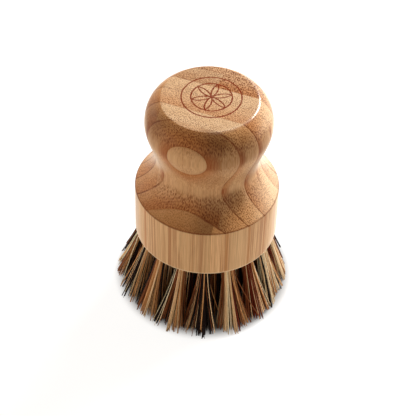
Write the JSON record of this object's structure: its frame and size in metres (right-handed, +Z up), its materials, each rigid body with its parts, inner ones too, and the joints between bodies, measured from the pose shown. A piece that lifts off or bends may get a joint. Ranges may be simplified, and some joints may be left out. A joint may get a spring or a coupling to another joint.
{
  "type": "scrub brush",
  "caption": "Round hand scrub brush with a turned bamboo knob handle and splayed tufts of stiff plant fibre set in its base, for pots and pans.",
  "frame": {"origin": "on the handle's turning axis, in the level plane of the trimmed bristle tips that the brush stands on", "axes": "+Z up along the handle's turning axis, from the bristle tips to the flat top of the knob; +X and +Y level, with one outer tuft on +X and one on -Y"},
  "size_m": [0.0706, 0.0711, 0.0957],
  "materials": {
    "bamboo": "satin",
    "plant_fibre": "matte",
    "anchor_steel": "satin"
  },
  "bodies": {
    "root": {"handle": "bamboo", "tuft_outer_01": "plant_fibre", "tuft_outer_02": "plant_fibre", "tuft_outer_03": "plant_fibre", "tuft_outer_04": "plant_fibre", "tuft_outer_05": "plant_fibre", "tuft_outer_06": "plant_fibre", "tuft_outer_07": "plant_fibre", "tuft_outer_08": "plant_fibre", "tuft_outer_09": "plant_fibre", "tuft_outer_10": "plant_fibre", "tuft_outer_11": "plant_fibre", "tuft_outer_12": "plant_fibre", "tuft_outer_13": "plant_fibre", "tuft_outer_14": "plant_fibre", "tuft_outer_15": "plant_fibre", "tuft_outer_16": "plant_fibre", "tuft_middle_01": "plant_fibre", "tuft_middle_02": "plant_fibre", "tuft_middle_03": "plant_fibre", "tuft_middle_04": "plant_fibre", "tuft_middle_05": "plant_fibre", "tuft_middle_06": "plant_fibre", "tuft_middle_07": "plant_fibre", "tuft_middle_08": "plant_fibre", "tuft_middle_09": "plant_fibre", "tuft_inner_01": "plant_fibre", "tuft_inner_02": "plant_fibre", "tuft_inner_03": "plant_fibre", "tuft_inner_04": "plant_fibre", "anchor_outer_01": "anchor_steel", "anchor_outer_02": "anchor_steel", "anchor_outer_03": "anchor_steel", "anchor_outer_04": "anchor_steel", "anchor_outer_05": "anchor_steel", "anchor_outer_06": "anchor_steel", "anchor_outer_07": "anchor_steel", "anchor_outer_08": "anchor_steel", "anchor_outer_09": "anchor_steel", "anchor_outer_10": "anchor_steel", "anchor_outer_11": "anchor_steel", "anchor_outer_12": "anchor_steel", "anchor_outer_13": "anchor_steel", "anchor_outer_14": "anchor_steel", "anchor_outer_15": "anchor_steel", "anchor_outer_16": "anchor_steel", "anchor_middle_01": "anchor_steel", "anchor_middle_02": "anchor_steel", "anchor_middle_03": "anchor_steel", "anchor_middle_04": "anchor_steel", "anchor_middle_05": "anchor_steel", "anchor_middle_06": "anchor_steel", "anchor_middle_07": "anchor_steel", "anchor_middle_08": "anchor_steel", "anchor_middle_09": "anchor_steel", "anchor_inner_01": "anchor_steel", "anchor_inner_02": "anchor_steel", "anchor_inner_03": "anchor_steel", "anchor_inner_04": "anchor_steel"}
  },
  "joints": []
}
